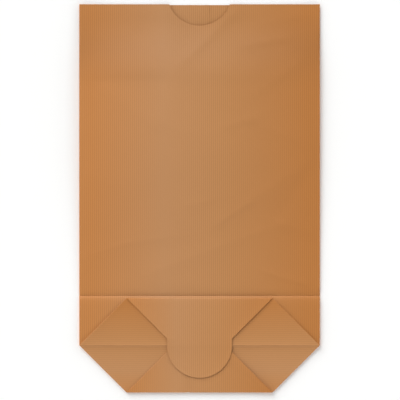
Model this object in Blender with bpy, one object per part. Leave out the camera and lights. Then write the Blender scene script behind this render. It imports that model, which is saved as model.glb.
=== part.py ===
# Brown paper lunch bag lying flat on its back: one sheet of kraft paper, folded and glued.
# X runs across the bag, Y from the bottom fold up to the mouth, and Z up from the table.
# The bottom is a folded hexagon. A height called "rise" counts along Y from its middle line.

import math

import bmesh
import bpy
from mathutils import Vector

millimetre = 0.001

# Paper
paperThickness = 0.10
plyPitch = 0.20
bendReach = 0.10

# Bag
bagWidth = 145.0
bagLength = 234.0
backLipDrop = 0.6

# Thumb notch in the front wall
notchRadius = 19.35
notchCentreAboveLip = 6.54

# Folded bottom
bottomDepth = 57.0
tongueShoulder = 4.1
tongueTipLift = 0.30
tongueRim = 6.6
tongueDrop = 6.0
wrapReach = 0.30
creaseAboveBottom = 1.0

# Seam down the middle of the back wall
seamLap = 12.0
seamPitch = 0.12
seamRamp = 3.2

# Air left in the flattened body
creaseHeight = 0.34
creaseShoulder = 0.35
bottomShoulder = 0.20
shoulderLength = 2.2
sideLift = 1.6
sideLiftStart = 45.0
bellyRise = 4.4
bellyRamp = 100.0

# Ridge across each corner triangle
ridgeRise = 0.20
ridgeLength = 2.2
ridgeStart = 6.0
stepLength = 2.5

# Mesh
columns = 20
sideColumns = 7
cornerColumns = 6
bendSteps = 4
tongueSteps = 9

halfWidth = bagWidth / 2
halfDepth = bottomDepth / 2
middleLineY = halfDepth - bagLength / 2
lipRise = bagLength - halfDepth
creaseRise = halfDepth + creaseAboveBottom
slantInset = math.sqrt(2) * (bendReach + paperThickness / 2)
bodyHalf = halfWidth - bendReach - paperThickness / 2
foldRise = bendReach + paperThickness / 2
wrapRise = halfDepth - wrapReach - paperThickness / 2
flapHalfAtMiddle = halfWidth - bottomDepth
tongueRadius = flapHalfAtMiddle + tongueShoulder
tongueTopRise = tongueShoulder + slantInset
bottomHeight = creaseHeight + bottomShoulder


def smooth(share):
    share = min(max(share, 0.0), 1.0)
    return share * share * (3 - 2 * share)


# Heights of each ply's middle above the table, in the order in which the plies lie


def backHeight(x, rise):
    side = max(abs(x) - sideLiftStart, 0.0) / (bodyHalf - sideLiftStart)
    return paperThickness / 2 + sideLift * smooth((rise - creaseRise) / bellyRamp) * side * side


def frontHeight(x, rise):
    if rise <= creaseRise:
        return creaseHeight + bottomShoulder * (1 - math.exp((rise - creaseRise) / shoulderLength))
    shoulder = creaseShoulder * (1 - math.exp((creaseRise - rise) / shoulderLength))
    arch = sideLift + bellyRise * (1 - (x / bodyHalf) ** 2)
    return creaseHeight + shoulder + arch * smooth((rise - creaseRise) / bellyRamp)


def turnUpHeight(x, rise):
    return frontHeight(x, rise) + plyPitch


def cornerHeight(x, rise):
    ridge = ridgeRise * math.exp(-abs(rise) / ridgeLength)
    ridge *= 1 - math.exp(min(abs(x) - halfWidth, 0.0) / ridgeStart)
    if rise >= 0:
        return frontHeight(x, rise) + 2 * plyPitch + ridge
    low = paperThickness / 2 + plyPitch
    return low + (bottomHeight + 2 * plyPitch - low) * math.exp(rise / stepLength) + ridge


def tuckHeight(x, rise):
    return cornerHeight(x, rise) + plyPitch


def lowerFlapHeight(x, rise):
    return cornerHeight(0.0, rise) + 2 * plyPitch


def upperFlapHeight(x, rise):
    top = bottomHeight + 4 * plyPitch + 0.03
    if rise >= 0:
        return frontHeight(x, rise) + top - bottomHeight
    rest = paperThickness / 2 + 4 * plyPitch + 0.02
    rim = smooth((math.hypot(x, rise) - tongueRadius + tongueRim) / tongueRim)
    rim *= smooth(-rise / tongueDrop)
    return rest + (top - rest) * math.exp(rise / tongueDrop) + tongueTipLift * rim


# Half widths of the plies, up to where each starts to bend into its folds


def hexagonHalf(rise):
    return halfWidth - abs(rise) - slantInset


def flapHalf(rise):
    return flapHalfAtMiddle + abs(rise) - slantInset


points = []
faces = []


def addGrid(rows):
    first = len(points)
    width = len(rows[0])
    for row in rows:
        points.extend(row)
    for i in range(len(rows) - 1):
        for j in range(width - 1):
            corner = first + i * width + j
            faces.append((corner, corner + 1, corner + width + 1, corner + width))


# The half-round bend that joins the edges of two plies, reaching outward by its own depth
def addBend(firstEdge, secondEdge, outward, reaches):
    rows = []
    for step in range(bendSteps + 1):
        angle = math.pi * step / bendSteps
        share = (1 - math.cos(angle)) / 2
        row = []
        for start, end, reach in zip(firstEdge, secondEdge, reaches):
            point = start.lerp(end, share)
            point += outward * (reach * math.sin(angle))
            row.append(point)
        rows.append(row)
    addGrid(rows)


# Rows of points, closest together where the paper curves most
nearMiddle = (0.0, 0.11, 0.30, 0.60)
nearWrap = (0.0, 0.11, 0.28, 0.49, 0.70, 0.87, 1.0)
belowCrease = (0.0, 0.30, 0.60, 0.81, 0.90, 0.96)
aboveCrease = (0.0, 0.005, 0.012, 0.023, 0.04, 0.071, 0.117, 0.173, 0.241, 0.321, 0.4, 0.486)
aboveCrease += (0.57, 0.685, 0.844, 1.0)
bottomRises = [foldRise + (tongueTopRise - foldRise) * share for share in nearMiddle]
bottomRises += [tongueTopRise + (wrapRise - tongueTopRise) * share for share in nearWrap]
bodyRises = [foldRise + (creaseRise - foldRise) * share for share in belowCrease]
bodyRises += [creaseRise + (lipRise - creaseRise) * share for share in aboveCrease]


def even(count):
    return [2 * i / count - 1 for i in range(count + 1)]


def wideRow(half, rise, height):
    return [Vector((share * half, rise, height(share * half, rise))) for share in even(columns)]


def cornerRow(side, outer, rise, height):
    row = []
    for i in range(cornerColumns + 1):
        x = outer + (tongueRadius - outer) * i / cornerColumns
        row.append(Vector((side * x, rise, height(x, rise))))
    return row


# How far the left ply has stepped inward where it passes over the right one
def seamStep(side, x):
    if side > 0:
        return 0.0
    return seamPitch * smooth((x + seamLap / 2 + seamRamp) / (0.8 * seamRamp))


# A row of the wall that holds the seam
def seamRow(side, half, rise, height, inward):
    lapStart = seamLap / 2
    rampStart = lapStart + seamRamp
    xs = [side * (half - (half - rampStart) * i / sideColumns) for i in range(sideColumns)]
    if side < 0:
        xs += [-rampStart, -lapStart - 0.65 * seamRamp, -lapStart - 0.3 * seamRamp, -lapStart]
        xs += [0.0, lapStart]
    else:
        xs += [rampStart, 0.0, -lapStart]
    return [Vector((x, rise, height(x, rise) + inward * seamStep(side, x))) for x in xs]


def seamReaches(side, row):
    return [wrapReach - seamStep(side, point.x) for point in row]


def slant(x, y):
    return Vector((x, y, 0)).normalized()


# Front wall, the strip turned up behind the corners, and the upper flap that ends in the tongue
front = [wideRow(bodyHalf, rise, frontHeight) for rise in bodyRises]
turnUp = [wideRow(hexagonHalf(rise), rise, turnUpHeight) for rise in bottomRises]
flapRises = [rise for rise in bottomRises if rise >= tongueTopRise]
upperFlap = [wideRow(flapHalf(rise), rise, upperFlapHeight) for rise in reversed(flapRises)]
for rise in (tongueShoulder / 2, 0.0):
    upperFlap.append(wideRow(tongueRadius, rise, upperFlapHeight))
for i in range(1, tongueSteps + 1):
    angle = math.pi / 2 * i / tongueSteps
    half = tongueRadius * math.cos(angle)
    upperFlap.append(wideRow(half, -tongueRadius * math.sin(angle), upperFlapHeight))
addGrid(front)
addGrid(turnUp)
addGrid(upperFlap)
addBend(front[0], turnUp[0], Vector((0, -1, 0)), [bendReach] * len(front[0]))
addBend(turnUp[-1], upperFlap[0], Vector((0, 1, 0)), [wrapReach] * len(turnUp[-1]))

for side in (-1, 1):
    edge = 0 if side < 0 else -1

    # Back wall and lower flap, in two plies that lap at the seam
    lowRises = [-rise for rise in reversed(bottomRises)] + [0.0]
    back = [seamRow(side, hexagonHalf(rise), rise, backHeight, 1) for rise in lowRises]
    for rise in bodyRises[:-1] + [lipRise - backLipDrop]:
        back.append(seamRow(side, bodyHalf, rise, backHeight, 1))
    lowerFlap = []
    for rise in reversed(flapRises):
        lowerFlap.append(seamRow(side, flapHalf(rise), -rise, lowerFlapHeight, -1))
    addGrid(back)
    addGrid(lowerFlap)
    addBend(back[0], lowerFlap[0], Vector((0, -1, 0)), seamReaches(side, back[0]))

    # Corner triangle pressed flat, and its two ends tucked under the flaps
    cornerRises = lowRises + bottomRises
    corner = [cornerRow(side, hexagonHalf(rise), rise, cornerHeight) for rise in cornerRises]
    upperTuck = [cornerRow(side, flapHalf(rise), rise, tuckHeight) for rise in reversed(flapRises)]
    lowerTuck = [cornerRow(side, flapHalf(rise), -rise, tuckHeight) for rise in reversed(flapRises)]
    addGrid(corner)
    addGrid(upperTuck)
    addGrid(lowerTuck)
    addBend(corner[-1], upperTuck[0], Vector((0, 1, 0)), [bendReach] * len(corner[-1]))
    addBend(corner[0], lowerTuck[0], Vector((0, -1, 0)), [bendReach] * len(corner[0]))

    # Side fold of the body and the slanting folds of the bottom
    bodyBack = back[len(lowRises):]
    sideEdge = [row[0] for row in bodyBack]
    addBend(sideEdge, [row[edge] for row in front], Vector((side, 0, 0)), [bendReach] * len(front))
    lowBack = [row[0] for row in back[: len(lowRises)]]
    lowCorner = [row[0] for row in corner[: len(lowRises)]]
    addBend(lowBack, lowCorner, slant(side, -1), [bendReach] * len(lowBack))
    highCorner = [row[0] for row in corner[len(lowRises):]]
    addBend([row[edge] for row in turnUp], highCorner, slant(side, 1), [bendReach] * len(turnUp))
    tuckEdge = [row[0] for row in upperTuck]
    flapEdge = [row[edge] for row in upperFlap[: len(flapRises)]]
    addBend(tuckEdge, flapEdge, slant(side, -1), [bendReach] * len(tuckEdge))
    tuckEdge = [row[0] for row in lowerTuck]
    flapEdge = [row[0] for row in lowerFlap]
    addBend(tuckEdge, flapEdge, slant(side, 1), [bendReach] * len(tuckEdge))

for thing in list(bpy.data.objects):
    bpy.data.objects.remove(thing, do_unlink=True)

kraft = bpy.data.materials.new("ribbed kraft paper")
kraft.use_nodes = True
surface = kraft.node_tree.nodes["Principled BSDF"]
surface.inputs["Base Color"].default_value = (0.50, 0.24, 0.10, 1.0)
surface.inputs["Roughness"].default_value = 0.6

sheet = bpy.data.meshes.new("folded sheet")
placed = [((p.x) * millimetre, (p.y + middleLineY) * millimetre, p.z * millimetre) for p in points]
sheet.from_pydata(placed, [], faces)
welded = bmesh.new()
welded.from_mesh(sheet)
bmesh.ops.remove_doubles(welded, verts=welded.verts, dist=0.00001)
bmesh.ops.recalc_face_normals(welded, faces=welded.faces)
for face in welded.faces:
    face.smooth = True
welded.to_mesh(sheet)
welded.free()
sheet.materials.append(kraft)
bag = bpy.data.objects.new("paper_bag", sheet)
bpy.context.scene.collection.objects.link(bag)

thicken = bag.modifiers.new("paper thickness", "SOLIDIFY")
thicken.thickness = paperThickness * millimetre
thicken.offset = 0.0
thicken.use_even_offset = False

# Thumb notch: an upright cylinder that meets only the front wall
bpy.ops.mesh.primitive_cylinder_add(vertices=96, radius=notchRadius * millimetre, depth=0.010)
notch = bpy.context.object
notch.name = "thumb notch cutter"
notch.location = (0, (bagLength / 2 + notchCentreAboveLip) * millimetre, 0.008)
notch.hide_render = True
notch.display_type = "WIRE"
cut = bag.modifiers.new("thumb notch", "BOOLEAN")
cut.operation = "DIFFERENCE"
cut.object = notch
cut.solver = "EXACT"
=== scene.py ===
import math
import bmesh
import bpy
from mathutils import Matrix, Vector, noise


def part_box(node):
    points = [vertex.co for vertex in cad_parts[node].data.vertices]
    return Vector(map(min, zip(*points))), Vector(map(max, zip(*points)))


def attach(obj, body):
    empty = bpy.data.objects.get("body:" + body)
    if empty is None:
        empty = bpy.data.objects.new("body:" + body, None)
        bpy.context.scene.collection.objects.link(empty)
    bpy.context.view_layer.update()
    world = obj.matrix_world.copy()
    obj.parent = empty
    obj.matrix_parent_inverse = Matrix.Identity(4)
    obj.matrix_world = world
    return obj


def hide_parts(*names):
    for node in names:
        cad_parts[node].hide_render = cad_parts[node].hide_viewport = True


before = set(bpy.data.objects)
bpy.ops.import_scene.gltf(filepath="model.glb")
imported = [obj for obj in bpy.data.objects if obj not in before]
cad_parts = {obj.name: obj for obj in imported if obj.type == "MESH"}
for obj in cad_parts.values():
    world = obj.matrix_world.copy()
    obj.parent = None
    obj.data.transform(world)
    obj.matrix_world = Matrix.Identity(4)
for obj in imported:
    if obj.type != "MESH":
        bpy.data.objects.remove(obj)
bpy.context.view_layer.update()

bagLow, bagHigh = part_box("paper_bag")
millimetre = 0.001
scene = bpy.context.scene
scene.view_settings.view_transform = "Standard"
print("loaded the frame, bag box", [round(side, 4) for side in bagHigh - bagLow])


def linear(hexColour):
    parts = [int(hexColour[i:i + 2], 16) / 255 for i in (1, 3, 5)]
    parts = [part / 12.92 if part <= 0.04045 else ((part + 0.055) / 1.055) ** 2.4 for part in parts]
    return (*parts, 1.0)


def addNode(tree, kind, settings=None, links=None):
    node = tree.nodes.new("ShaderNode" + kind)
    for name, value in (settings or {}).items():
        if isinstance(name, int) or name in node.inputs:
            node.inputs[name].default_value = value
        else:
            setattr(node, name, value)
    for name, socket in (links or {}).items():
        tree.links.new(socket, node.inputs[name])
    return node


# Camera: a long lens far above the table, so the outline shows almost without perspective
camera = {"height": 2.5, "frameWidth": 0.24117, "aimX": 0.00027, "aimY": -0.00096, "sensor": 36.0}

cameraData = bpy.data.cameras.new("copy stand camera")
cameraData.sensor_width = camera["sensor"]
cameraData.lens = camera["sensor"] * camera["height"] / camera["frameWidth"]
cameraObject = bpy.data.objects.new("copy stand camera", cameraData)
cameraObject.location = (camera["aimX"], camera["aimY"], camera["height"])
scene.collection.objects.link(cameraObject)
scene.camera = cameraObject

# Light: a white room that is brighter low down, as between walls of soft boxes, and one broad
# lamp from the upper left of the picture. On the flat table they add up to 1: the room gives
# its overhead strength and a sixth of what the walls add.
light = {
    "overhead": 0.15,
    "walls": 3.2,
    "wallFade": 2.0,    # the power by which the walls' light fades upward
    "lampShare": 0.32,
    "lampFrom": (-0.46, 0.72, 0.46),
    "lampAngle": 44.0,
}

lampDirection = Vector(light["lampFrom"]).normalized()
lampData = bpy.data.lights.new("broad lamp", "SUN")
lampData.energy = light["lampShare"] * math.pi / lampDirection.z
lampData.angle = math.radians(light["lampAngle"])
lampObject = bpy.data.objects.new("broad lamp", lampData)
lampObject.rotation_euler = lampDirection.to_track_quat("Z", "Y").to_euler()
scene.collection.objects.link(lampObject)


# 1 where the camera sees a surface itself, in a reflection or through glass, and 0 for its light
def seenDirectly(tree):
    rays = addNode(tree, "LightPath").outputs
    either = {"operation": "MAXIMUM"}
    shiny = addNode(tree, "Math", either, {0: rays["Is Glossy Ray"], 1: rays["Is Transmission Ray"]})
    seen = addNode(tree, "Math", either, {0: rays["Is Camera Ray"], 1: shiny.outputs[0]})
    return seen.outputs[0]


world = bpy.data.worlds.new("white room")
world.use_nodes = True
scene.world = world
room = world.node_tree
room.nodes.clear()
direction = addNode(room, "TexCoord")
height = addNode(room, "SeparateXYZ", None, {0: direction.outputs["Generated"]})
lowness = addNode(room, "MapRange", {"To Min": 1.0, "To Max": 0.0}, {"Value": height.outputs["Z"]})
lowness = addNode(room, "Math", {"operation": "POWER", 1: light["wallFade"]}, {0: lowness.outputs[0]})
glowing = addNode(room, "Math", {"operation": "MULTIPLY_ADD", 1: light["walls"], 2: light["overhead"]},
                  {0: lowness.outputs[0]})
strength = addNode(room, "MapRange", {"To Max": 1.0},
                   {"Value": seenDirectly(room), "To Min": glowing.outputs[0]})
background = addNode(room, "Background", {"Color": (1, 1, 1, 1)}, {"Strength": strength.outputs[0]})
addNode(room, "OutputWorld", None, {"Surface": background.outputs[0]})

# Table: white melamine board, matt, with a little light of its own where the camera sees it
table = {"half": 10.0, "height": -0.00002, "colour": "#FDFDFC", "whiten": 0.03}

tableMesh = bpy.data.meshes.new("white table")
half = table["half"]
tableCorners = [(-half, -half, 0), (half, -half, 0), (half, half, 0), (-half, half, 0)]
tableMesh.from_pydata(tableCorners, [], [(0, 1, 2, 3)])
tableObject = bpy.data.objects.new("white_table", tableMesh)
tableObject.location.z = table["height"]
scene.collection.objects.link(tableObject)
tableLook = bpy.data.materials.new("white melamine")
tableLook.use_nodes = True
tree = tableLook.node_tree
tree.nodes.clear()
board = addNode(tree, "BsdfDiffuse", {"Color": linear(table["colour"])})
whiten = addNode(tree, "Math", {"operation": "MULTIPLY", 1: table["whiten"]}, {0: seenDirectly(tree)})
glow = addNode(tree, "Emission", {"Color": (1, 1, 1, 1)}, {"Strength": whiten.outputs[0]})
both = addNode(tree, "AddShader", None, {0: board.outputs[0], 1: glow.outputs[0]})
addNode(tree, "OutputMaterial", None, {"Surface": both.outputs[0]})
tableMesh.materials.append(tableLook)
print("set the camera, the light and the table")

# Kraft paper: unbleached softwood pulp, machine glazed on a hot cylinder over a ribbed felt.
# The eye gets a warm brown with a satin face, fine straight ribs and a faint cloudy fibre.
kraft = {
    # The paper's brown across each ply, with a painted sheen palest a little before the middle and
    # painted shade darkest at the far end
    "tone": ((0.05, "#BC7B3E"), (0.35, "#BA8555"), (0.6, "#B8804B"), (0.95, "#B47334")),
    "ribPitch": 0.001216,    # felt ribs, counted in the photograph
    "ribShift": 0.8,         # where the first rib lies, in radians of its wave
    "ribShade": 0.17,
    "cloud": 0.022,          # flocks of fibre where the pulp is thicker
    "cloudDetail": 3.0,
    "cloudShade": 0.03,
    "fibre": 0.0016,         # single fibres are 3 mm by 0.03 mm, drawn wider to show
    "fibreStretch": 4.0,
    "fibreDetail": 2.0,
    "fibreShade": 0.02,
    "paintedShadeAt": 0.180,    # painted shade: a band that cancels the light on the slope down to the mouth
    "paintedShadeReach": 0.028,
    "paintedShadeStrength": 0.13,
    "ior": 1.47,
}
# The glazed side is outside; the felt side, inside the bag, is rougher and painted a little paler
glazedSide = {
    "name": "glazed side of ribbed kraft paper",
    "lighten": 1.0,
    "roughness": 0.56,
    "ribDepth": 0.00002,
}
feltSide = {
    "name": "felt side of ribbed kraft paper",
    # partly the felt side's own paleness, partly painted light that lifts the shade under the front
    # wall in the thumb notch
    "lighten": 1.03,
    "roughness": 0.78,
    "ribDepth": 0.00003,
}


def kraftPaper(side):
    look = bpy.data.materials.new(side["name"])
    look.use_nodes = True
    tree = look.node_tree
    tree.nodes.clear()
    ribs = addNode(tree, "UVMap", {"uv_map": "ribs"}).outputs[0]
    toneMap = addNode(tree, "UVMap", {"uv_map": "tone"}).outputs[0]
    sheet = addNode(tree, "SeparateXYZ", None, {0: toneMap})
    # The paper's brown with its painted sheen and shade, read across the tone map
    tone = addNode(tree, "ValToRGB", None, {0: sheet.outputs["X"]})
    stops = tone.color_ramp.elements
    while len(stops) < len(kraft["tone"]):
        stops.new(0.5)
    for stop, (place, hexColour) in zip(stops, kraft["tone"]):
        stop.position = place
        stop.color = linear(hexColour)
    # A sine wave texture repeats each pi / 10 of its space
    ribScale = math.pi / 10 / kraft["ribPitch"]
    ribWave = {"wave_profile": "SIN", "Scale": ribScale, "Phase Offset": kraft["ribShift"]}
    wave = addNode(tree, "TexWave", ribWave, {"Vector": ribs})
    cloudPlace = addNode(tree, "Mapping", {"Scale": (1 / kraft["cloud"],) * 3}, {"Vector": ribs})
    clouds = addNode(tree, "TexNoise", {"Scale": 1.0, "Detail": kraft["cloudDetail"]},
                     {"Vector": cloudPlace.outputs[0]})
    fibreScale = (1 / kraft["fibre"], 1 / kraft["fibre"] / kraft["fibreStretch"], 1.0)
    fibrePlace = addNode(tree, "Mapping", {"Scale": fibreScale}, {"Vector": ribs})
    fibres = addNode(tree, "TexNoise", {"Scale": 1.0, "Detail": kraft["fibreDetail"]},
                     {"Vector": fibrePlace.outputs[0]})
    # The second number of the tone map is the strength of the ribs: it is less where the paper
    # was pressed, and at 0 the paper has the middle level of the wave all over
    pressed = addNode(tree, "MapRange", {"To Min": 0.5},
                      {"Value": sheet.outputs["Y"], "To Max": wave.outputs["Fac"]})
    # Outside the band of painted shade this is 1, and at the middle of the band it is 0
    along = addNode(tree, "SeparateXYZ", None, {0: ribs}).outputs["Y"]
    apart = addNode(tree, "Math", {"operation": "SUBTRACT", 1: kraft["paintedShadeAt"]}, {0: along})
    apart = addNode(tree, "Math", {"operation": "ABSOLUTE"}, {0: apart.outputs[0]})
    fading = {"interpolation_type": "SMOOTHSTEP", "From Max": kraft["paintedShadeReach"]}
    outside = addNode(tree, "MapRange", fading, {"Value": apart.outputs[0]})
    # Each pattern scales the colour by its shade, half below its middle level and half above it
    patterns = (
        (outside.outputs[0], kraft["paintedShadeStrength"], 1 - kraft["paintedShadeStrength"] / 2),
        (pressed.outputs[0], kraft["ribShade"], side["lighten"]),
        (clouds.outputs["Fac"], kraft["cloudShade"], 1.0),
        (fibres.outputs["Fac"], kraft["fibreShade"], 1.0),
    )
    colour = tone.outputs[0]
    for pattern, shade, middle in patterns:
        span = {"To Min": middle * (1 - shade / 2), "To Max": middle * (1 + shade / 2)}
        level = addNode(tree, "MapRange", span, {"Value": pattern})
        scaled = addNode(tree, "VectorMath", {"operation": "SCALE"},
                         {0: colour, "Scale": level.outputs[0]})
        colour = scaled.outputs[0]
    bump = addNode(tree, "Bump", {"Distance": side["ribDepth"]}, {"Height": pressed.outputs[0]})
    shader = addNode(tree, "BsdfPrincipled", {"Roughness": side["roughness"], "IOR": kraft["ior"]},
                     {"Base Color": colour, "Normal": bump.outputs[0]})
    addNode(tree, "OutputMaterial", None, {"Surface": shader.outputs[0]})
    return look


paperSides = [kraftPaper(side) for side in (glazedSide, feltSide)]
print("made both sides of the paper")

# Bag: one sheet of 0.1 mm kraft paper, folded and glued. Sizes are in millimetres.
# A height called "rise" counts along Y from the middle line of the folded bottom.
bag = {
    "width": (bagHigh.x - bagLow.x) / millimetre,
    "length": (bagHigh.y - bagLow.y) / millimetre,
    "paper": 0.10,
    "plyPitch": 0.18,           # from the middle of one ply to the middle of the next
    "bendReach": 0.10,          # how far a fold between two neighbouring plies reaches outward
    "wrapReach": 0.30,          # the same where a fold wraps round other plies
    "backLipDrop": 0.45,
    "notchRadius": 19.35,
    "notchAboveLip": 6.54,      # where the notch's centre lies
    "cutterFloor": 0.26,        # between the back wall's top and the front wall's underside
    "cutterHeight": 10.0,
    "cutterSides": 160,
    "bottomDepth": 57.0,
    "tongueShoulder": 4.1,      # where the round tongue starts, above the middle line
    "tongueDrop": 4.5,
    "cornerUnderTongue": 6.0,
    "flapFollows": 0.85,        # share of the groove below it that the upper flap shows
    "upperFlapAir": 0.03,
    "tongueAir": 0.02,
    "pressing": 0.05,
    "pressingStart": 12.0,
    "pressingLength": 14.0,
    "creaseAboveBottom": 1.2,
    "seamLap": 12.0,
    "seamPitch": 0.12,
    "seamRamp": 3.2,
    "seamRampShare": 0.8,       # the part of its ramp in which the ply steps inward
    "bottomAir": 1.10,          # air between the back wall and the pressed bottom
    "creaseHeight": 0.65,
    "creaseShoulder": 0.30,
    "bottomShoulder": 0.60,
    "shoulderLength": 2.1,
    "grooveDepth": 0.34,
    "grooveBelow": 0.9,
    "grooveAbove": 2.2,
    "foldLift": 0.31,           # how far a slanting fold stands off the paper under it
    "foldLiftLength": 4.0,
    "leftLift": (0.02, 0.14),   # the same for the lower flap: near the tongue, and at its corner
    "rightLift": (0.40, 1.00),
    "lowerLiftStart": 6.0,
    "lowerLiftLength": 14.0,
    "sideLift": 1.5,
    "sideTilt": 0.5,
    "sideLiftStart": 45.0,
    "backShare": 0.7,           # share of the sides' lift that the back wall follows
    "bellyRise": 3.9,
    "bellyRamp": 100.0,
    "mouthLength": 37.0,        # how far the slope down to the mouth reaches
    "mouthFlat": 8.0,           # the strip along the lip that is pressed flat
    "mouthGap": 0.32,           # between the middles of the two walls there
    "curlRise": 0.45,           # the lip stands up a little at the notch's left end
    "curlX": -17.0,
    "curlWidth": 9.0,
    "ridgeRise": 0.32,          # ridge across each corner triangle, along the middle line
    "ridgeAbove": 2.0,
    "ridgeBelow": 0.9,
    "ridgeStart": 6.0,
    "stepLength": 1.8,
    "columns": 96,              # from here on, the numbers and the spacing of the mesh's rows
    "sideColumns": 22,
    "cornerColumns": 26,
    "bodyRows": 120,
    "bodyCrowding": 1.35,
    "grooveRows": 20,
    "grooveCrowding": 2.2,
    "middleRows": 8,
    "middleCrowding": 1.4,
    "bottomRows": 26,
    "shoulderSteps": 5,
    "seamSteps": 8,
    "bendSteps": 8,
    "tongueSteps": 28,
    "mergeDistance": 0.003,     # points of two edges that meet become one
    "sharpAngle": 38.0,         # degrees between two faces, beyond which their edge shows
    "flapToneWidth": 96.0,      # widths and places of the painted sheen and shade, then the ribs' strength
    "cornerToneWidth": 71.25,
    "cornerToneShift": 0.06,
    "cornerRibs": 0.45,
}

paper = bag["paper"]
halfWidth = bag["width"] / 2
halfDepth = bag["bottomDepth"] / 2
lipRise = bag["length"] - halfDepth
middleLineY = halfDepth - bag["length"] / 2
creaseRise = halfDepth + bag["creaseAboveBottom"]
foldRise = bag["bendReach"] + paper / 2
bodyHalf = halfWidth - foldRise
slantInset = math.sqrt(2) * foldRise
wrapRise = halfDepth - bag["wrapReach"] - paper / 2
flapHalfAtMiddle = halfWidth - bag["bottomDepth"]
tongueRadius = flapHalfAtMiddle + bag["tongueShoulder"]
tongueTopRise = bag["tongueShoulder"] + slantInset
bottomHeight = bag["creaseHeight"] + bag["bottomShoulder"]


def smooth(share):
    share = min(max(share, 0.0), 1.0)
    return share * share * (3 - 2 * share)


# Faint creases in the front wall from handling: the two ends, the height of the ridge between
# them, and how far it falls off on its upper and its lower side. Places are x and rise.
crumple = {
    "creases": (
        ((-60, 160), (-25, 160), -0.38, 5.0, 9.0),
        ((-55, 152), (-30, 133), 0.30, 8.0, 2.5),
        ((-8, 172), (20, 199), 0.34, 6.0, 3.0),
        ((32, 181), (49, 184), 0.28, 6.0, 1.6),
        ((40, 195), (58, 198), 0.22, 3.0, 5.0),
        ((38, 154), (56, 167), 0.24, 6.0, 1.6),
        ((1, 156), (17, 145), 0.14, 4.0, 3.0),
        ((-23, 135), (-11, 129), 0.18, 4.0, 4.0),
        ((18, 132), (31, 136), 0.30, 7.0, 2.2),
        ((31, 135), (63, 121), 0.18, 4.0, 2.5),
        ((13, 74), (28, 84), 0.34, 6.0, 1.6),
        ((38, 92), (68, 112), 0.34, 6.0, 7.0),
        ((50, 81), (69, 109), -0.22, 6.0, 4.0),
        ((-3, 85), (5, 87), 0.22, 4.0, 2.0),
        ((-66, 103), (-40, 96), 0.18, 6.0, 8.0),
        ((27, 65), (49, 73), 0.22, 4.0, 4.0),
        ((53, 72), (69, 67), 0.24, 4.0, 2.0),
        ((-68, 54), (-46, 61), 0.25, 5.0, 6.0),
        ((-39, 62), (-11, 66), 0.18, 5.0, 2.5),
        ((-26, 45), (13, 60), 0.36, 7.0, 12.0),
        ((43, 43), (59, 38), 0.24, 4.0, 2.0),
    ),
    "endFade": 7.0,
    "edgeMargin": 2.0,    # the creases and the waves start this far above the bottom's crease
    "edgeFade": 6.0,
    "waveHeight": 0.10,
    "waveLength": 21.0,
}


def crumpleHeight(x, rise):
    place = Vector((x, rise))
    height = crumple["waveHeight"] * noise.noise(Vector((x, rise, 0)) / crumple["waveLength"])
    for start, end, ridge, above, below in crumple["creases"]:
        start, end = Vector(start), Vector(end)
        along = (end - start).normalized()
        reach = (place - start).dot(along)
        beyond = max(-reach, reach - (end - start).length, 0.0)
        across = (place - start).cross(along)
        width = below if across > 0 else above
        height += ridge * math.exp(-abs(across) / width - (beyond / crumple["endFade"]) ** 2)
    fade = smooth((rise - creaseRise - crumple["edgeMargin"]) / crumple["edgeFade"])
    return height * fade * smooth((bodyHalf - abs(x)) / crumple["edgeFade"])


# How far the sides of the body are raised: more on the left than on the right
def sideLift(x):
    return bag["sideLift"] - bag["sideTilt"] * x / bodyHalf


# Heights of each ply's middle above the table, in the order in which the plies lie
def backHeight(x, rise):
    side = max(abs(x) - bag["sideLiftStart"], 0.0) / (bodyHalf - bag["sideLiftStart"])
    lift = bag["backShare"] * sideLift(x) * side * side
    return paper / 2 + lift * smooth((rise - creaseRise) / bag["bellyRamp"])


def frontHeight(x, rise):
    down = max(creaseRise - rise, 0.0)
    up = max(rise - creaseRise, 0.0)
    groove = bag["grooveDepth"] * math.exp(-down / bag["grooveBelow"] - up / bag["grooveAbove"])
    if down > 0:
        shoulder = bag["bottomShoulder"] * (1 - math.exp(-down / bag["shoulderLength"]))
        return bag["creaseHeight"] + shoulder - groove
    shoulder = bag["creaseShoulder"] * (1 - math.exp(-up / bag["shoulderLength"]))
    arch = sideLift(x) + bag["bellyRise"] * (1 - (x / bodyHalf) ** 2)
    belly = bag["creaseHeight"] + shoulder - groove + arch * smooth(up / bag["bellyRamp"])
    curl = bag["curlRise"] * math.exp(-((x - bag["curlX"]) / bag["curlWidth"]) ** 2)
    lip = backHeight(x, rise) + bag["mouthGap"] + curl
    slopeStart = lipRise - bag["mouthFlat"] - bag["mouthLength"]
    closing = smooth((rise - slopeStart) / bag["mouthLength"])
    return belly + (lip - belly) * closing + crumpleHeight(x, rise)


# The plies lie closest together at the top fold of the bottom, where they were pressed
def pitch(rise):
    pressed = smooth((rise - bag["pressingStart"]) / bag["pressingLength"])
    return bag["plyPitch"] - bag["pressing"] * pressed


# How far a slanting fold stands off the paper under it, at a point this far inside the fold
def foldLift(inside):
    return bag["foldLift"] * math.exp(-max(inside, 0.0) / bag["foldLiftLength"])


def turnUpHeight(x, rise):
    return frontHeight(x, rise) + pitch(rise) + foldLift(hexagonHalf(rise) - abs(x))


def cornerHeight(x, rise):
    fall = rise / bag["ridgeBelow"] if rise < 0 else -rise / bag["ridgeAbove"]
    ridge = bag["ridgeRise"] * math.exp(fall)
    ridge *= 1 - math.exp(min(abs(x) - halfWidth, 0.0) / bag["ridgeStart"])
    if rise >= 0:
        return turnUpHeight(x, rise) + pitch(rise) + ridge
    low = paper / 2 + bag["bottomAir"]
    start = turnUpHeight(x, 0.0) + bag["plyPitch"]
    return low + (start - low) * math.exp(rise / bag["stepLength"]) + ridge


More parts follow.
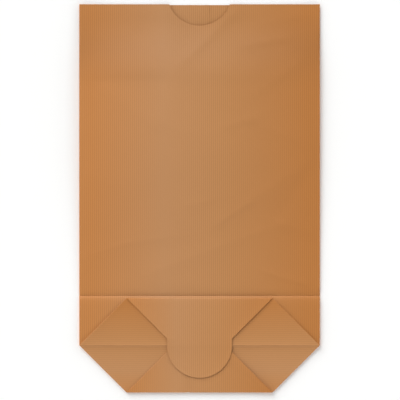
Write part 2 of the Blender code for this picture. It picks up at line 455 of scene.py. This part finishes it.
# The lower flap lies flat along its left fold and stands up along its right one, most at the
# corner
def lowerFoldLift(x, rise):
    nearTongue, atCorner = bag["rightLift"] if x > 0 else bag["leftLift"]
    toCorner = smooth((-rise - bag["lowerLiftStart"]) / bag["lowerLiftLength"])
    lift = nearTongue + (atCorner - nearTongue) * toCorner
    return lift * math.exp(-max(flapHalf(rise) - abs(x), 0.0) / bag["foldLiftLength"])


def tuckHeight(x, rise):
    lift = foldLift(flapHalf(rise) - abs(x)) if rise >= 0 else lowerFoldLift(x, rise)
    return cornerHeight(x, rise) + pitch(rise) + lift


def lowerFlapHeight(x, rise):
    return cornerHeight(0.0, rise) + 2 * bag["plyPitch"] + lowerFoldLift(x, rise)


# The upper flap lies four plies above the front wall, and its tongue comes down to lie three
# plies above the lower corner triangles
def upperFlapHeight(x, rise):
    top = bottomHeight + 4 * pitch(rise) + bag["upperFlapAir"]
    if rise >= 0:
        inside = flapHalf(max(rise, tongueTopRise)) - abs(x)
        return top + bag["flapFollows"] * (frontHeight(x, rise) - bottomHeight) + foldLift(inside)
    rest = paper / 2 + bag["bottomAir"] + 3 * bag["plyPitch"] + bag["tongueAir"]
    inside = tongueRadius - math.hypot(x, rise)
    return rest + (top - rest) * math.exp(rise / bag["tongueDrop"]) + foldLift(inside)


# Half widths of the plies, up to where each starts to bend into its folds
def hexagonHalf(rise):
    return halfWidth - abs(rise) - slantInset


def flapHalf(rise):
    return flapHalfAtMiddle + abs(rise) - slantInset


# Each ply is a grid of points. Its faces carry two maps: "ribs", in metres across and along
# the ribs, which turn with the paper in the corner triangles, and "tone", from 0 to 1 across,
# which places the painted sheen and shade.
points, faces, ribsMap, toneMap = [], [], [], []
toneWidths = {"wall": bag["width"], "flap": bag["flapToneWidth"], "corner": bag["cornerToneWidth"]}


def addGrid(rows, kind="wall"):
    first, width = len(points), len(rows[0])
    turned = kind == "corner"
    # In the corner triangles the tone map runs up the paper, and its painted sheen lies a little
    # further along
    middle = 0.5 + (bag["cornerToneShift"] if turned else 0)
    ribStrength = bag["cornerRibs"] if turned else 1.0
    for row in rows:
        points.extend(row)
    for i in range(len(rows) - 1):
        for j in range(width - 1):
            corner = first + i * width + j
            face = (corner, corner + 1, corner + width + 1, corner + width)
            faces.append(face)
            for at in (points[vertex] for vertex in face):
                across, along = (at.y, at.x) if turned else (at.x, at.y)
                ribsMap.append((across * millimetre, along * millimetre))
                toneMap.append((middle + across / toneWidths[kind], ribStrength))


# The half-round bend that joins the edges of two plies. Each of its points has its own reach.
def addBend(firstEdge, secondEdge, outward, reaches, kind="wall"):
    rows = []
    for step in range(bag["bendSteps"] + 1):
        angle = math.pi * step / bag["bendSteps"]
        share = (1 - math.cos(angle)) / 2
        row = []
        for start, end, reach in zip(firstEdge, secondEdge, reaches):
            row.append(start.lerp(end, share) + outward * (reach * math.sin(angle)))
        rows.append(row)
    addGrid(rows, kind)


def even(count):
    return [2 * i / count - 1 for i in range(count + 1)]


# Shares from 0 to 1 that lie closest together at the start, or at both ends
def crowdedStart(count, crowding):
    return [(i / count) ** crowding for i in range(count + 1)]


def crowdedEnds(count):
    return [(1 - math.cos(math.pi * i / count)) / 2 for i in range(count + 1)]


def wideRow(halfRow, rise, height):
    xs = [share * halfRow for share in even(bag["columns"])]
    return [Vector((x, rise, height(x, rise))) for x in xs]


def cornerRow(side, outer, rise, height):
    row = []
    inner = tongueRadius - bag["cornerUnderTongue"]
    for i in range(bag["cornerColumns"] + 1):
        x = outer + (inner - outer) * i / bag["cornerColumns"]
        row.append(Vector((side * x, rise, height(side * x, rise))))
    return row


# How far the left ply has stepped inward where it passes over the right one, down the back seam
def seamStep(side, x):
    if side > 0:
        return 0.0
    rampStart = bag["seamLap"] / 2 + bag["seamRamp"]
    return bag["seamPitch"] * smooth((x + rampStart) / (bag["seamRampShare"] * bag["seamRamp"]))


# A row of one ply of the back, from its side fold to its edge in the lap of the seam
def seamRow(side, halfRow, rise, height, inward):
    lapStart = bag["seamLap"] / 2
    rampStart = lapStart + bag["seamRamp"]
    count = bag["sideColumns"]
    xs = [side * (halfRow - (halfRow - rampStart) * i / count) for i in range(count)]
    if side < 0:
        steps = bag["seamSteps"]
        xs += [-rampStart + bag["seamRamp"] * i / steps for i in range(steps)]
        xs += [-lapStart, 0.0, lapStart]
    else:
        xs += [rampStart, 0.0, -lapStart]
    return [Vector((x, rise, height(x, rise) + inward * seamStep(side, x))) for x in xs]


def seamReaches(side, row):
    return [bag["wrapReach"] - seamStep(side, point.x) for point in row]


def slant(x, y):
    return Vector((x, y, 0)).normalized()


# The heights of the rows, from one place to another, at shares from 0 to 1 between them
def between(start, end, shares):
    return [start + (end - start) * share for share in shares]


nearMiddle = between(foldRise, tongueTopRise, crowdedStart(bag["middleRows"], bag["middleCrowding"]))
flapRises = between(tongueTopRise, wrapRise, crowdedEnds(bag["bottomRows"]))
bottomRises = nearMiddle[:-1] + flapRises
lowRises = [-rise for rise in reversed(bottomRises)] + [0.0]
belowCrease = between(creaseRise, foldRise, crowdedStart(bag["grooveRows"], bag["grooveCrowding"]))
aboveCrease = between(creaseRise, lipRise, crowdedStart(bag["bodyRows"], bag["bodyCrowding"]))
bodyRises = belowCrease[::-1] + aboveCrease[1:]

# Front wall, the strip turned up behind the corners, and the upper flap that ends in the tongue
front = [wideRow(bodyHalf, rise, frontHeight) for rise in bodyRises]
turnUp = [wideRow(hexagonHalf(rise), rise, turnUpHeight) for rise in bottomRises]
upperFlap = [wideRow(flapHalf(rise), rise, upperFlapHeight) for rise in reversed(flapRises)]
for step in range(1, bag["shoulderSteps"] + 1):
    rise = bag["tongueShoulder"] * (1 - step / bag["shoulderSteps"])
    upperFlap.append(wideRow(tongueRadius, rise, upperFlapHeight))
for step in range(1, bag["tongueSteps"] + 1):
    angle = math.pi / 2 * step / bag["tongueSteps"]
    rise = -tongueRadius * math.sin(angle)
    upperFlap.append(wideRow(tongueRadius * math.cos(angle), rise, upperFlapHeight))
addGrid(front)
addGrid(turnUp)
addGrid(upperFlap, "flap")
addBend(front[0], turnUp[0], Vector((0, -1, 0)), [bag["bendReach"]] * len(front[0]))
addBend(turnUp[-1], upperFlap[0], Vector((0, 1, 0)), [bag["wrapReach"]] * len(turnUp[-1]), "flap")

for side in (-1, 1):
    edge = 0 if side < 0 else -1
    # Back wall and lower flap, in two plies that lap at the seam
    back = [seamRow(side, hexagonHalf(rise), rise, backHeight, 1) for rise in lowRises]
    for rise in bodyRises[:-1] + [lipRise - bag["backLipDrop"]]:
        back.append(seamRow(side, bodyHalf, rise, backHeight, 1))
    lowerFlap = []
    for rise in reversed(flapRises):
        lowerFlap.append(seamRow(side, flapHalf(rise), -rise, lowerFlapHeight, -1))
    addGrid(back)
    addGrid(lowerFlap, "flap")
    addBend(back[0], lowerFlap[0], Vector((0, -1, 0)), seamReaches(side, back[0]), "flap")
    # Corner triangle pressed flat, and its two ends tucked under the flaps
    cornerRises = lowRises + bottomRises
    corner = [cornerRow(side, hexagonHalf(rise), rise, cornerHeight) for rise in cornerRises]
    upperTuck = [cornerRow(side, flapHalf(rise), rise, tuckHeight) for rise in reversed(flapRises)]
    lowerTuck = [cornerRow(side, flapHalf(rise), -rise, tuckHeight) for rise in reversed(flapRises)]
    addGrid(corner, "corner")
    addGrid(upperTuck, "corner")
    addGrid(lowerTuck, "corner")
    bendReaches = [bag["bendReach"]] * len(bodyRises)
    addBend(corner[-1], upperTuck[0], Vector((0, 1, 0)), bendReaches, "corner")
    addBend(corner[0], lowerTuck[0], Vector((0, -1, 0)), bendReaches, "corner")
    # Side fold of the body and the slanting folds of the bottom
    sideEdge = [row[0] for row in back[len(lowRises):]]
    addBend(sideEdge, [row[edge] for row in front], Vector((side, 0, 0)), bendReaches)
    lowBack = [row[0] for row in back[:len(lowRises)]]
    addBend(lowBack, [row[0] for row in corner[:len(lowRises)]], slant(side, -1), bendReaches)
    highCorner = [row[0] for row in corner[len(lowRises):]]
    addBend([row[edge] for row in turnUp], highCorner, slant(side, 1), bendReaches)
    flapEdge = [row[edge] for row in upperFlap[:len(flapRises)]]
    addBend([row[0] for row in upperTuck], flapEdge, slant(side, -1), bendReaches, "flap")
    flapEdge = [row[0] for row in lowerFlap]
    addBend([row[0] for row in lowerTuck], flapEdge, slant(side, 1), bendReaches, "flap")

sheetMesh = bpy.data.meshes.new("folded sheet")
placed = [Vector((point.x, point.y + middleLineY, point.z)) * millimetre for point in points]
sheetMesh.from_pydata(placed, [], faces)
for name, values in (("ribs", ribsMap), ("tone", toneMap)):
    layer = sheetMesh.uv_layers.new(name=name)
    layer.uv.foreach_set("vector", [number for pair in values for number in pair])
joined = bmesh.new()
joined.from_mesh(sheetMesh)
bmesh.ops.remove_doubles(joined, verts=joined.verts, dist=bag["mergeDistance"] * millimetre)
bmesh.ops.recalc_face_normals(joined, faces=joined.faces)
joined.to_mesh(sheetMesh)
joined.free()
for look in paperSides:
    sheetMesh.materials.append(look)

foldedBag = bpy.data.objects.new("folded_bag", sheetMesh)
scene.collection.objects.link(foldedBag)


def applyModifiers(piece):
    bpy.context.view_layer.update()
    result = piece.evaluated_get(bpy.context.evaluated_depsgraph_get())
    mesh = bpy.data.meshes.new_from_object(result)
    piece.modifiers.clear()
    piece.data = mesh
    return mesh


# The paper's thickness, with the glazed side outward and the felt side inward
thickness = foldedBag.modifiers.new("paper thickness", "SOLIDIFY")
thickness.thickness = paper * millimetre
thickness.offset = 0.0
thickness.use_even_offset = False
thickness.material_offset = 1
applyModifiers(foldedBag)

# Thumb notch in the front wall only: its cutter stops above the back wall
cutterRadius = bag["notchRadius"] * millimetre
cutterX, cutterY = 0.0, bag["length"] / 2 + bag["notchAboveLip"]
cutterZ = bag["cutterFloor"] + bag["cutterHeight"] / 2
cutterMesh = bpy.data.meshes.new("thumb notch cutter")
cutterShape = bmesh.new()
bmesh.ops.create_cone(cutterShape, cap_ends=True, segments=bag["cutterSides"], radius1=cutterRadius,
                      radius2=cutterRadius, depth=bag["cutterHeight"] * millimetre)
cutterShape.to_mesh(cutterMesh)
cutterShape.free()
cutter = bpy.data.objects.new("thumb_notch_cutter", cutterMesh)
cutter.location = Vector((cutterX, cutterY, cutterZ)) * millimetre
scene.collection.objects.link(cutter)
notch = foldedBag.modifiers.new("thumb notch", "BOOLEAN")
notch.operation = "DIFFERENCE"
notch.solver = "EXACT"
notch.object = cutter
sheetMesh = applyModifiers(foldedBag)
sheetMesh.name = "folded sheet"
bpy.data.objects.remove(cutter)
for face in sheetMesh.polygons:
    face.use_smooth = True
sheetMesh.set_sharp_from_angle(angle=math.radians(bag["sharpAngle"]))
print("folded the sheet:", len(sheetMesh.vertices), "points,", len(sheetMesh.polygons), "faces")

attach(foldedBag, "root")
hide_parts("paper_bag")
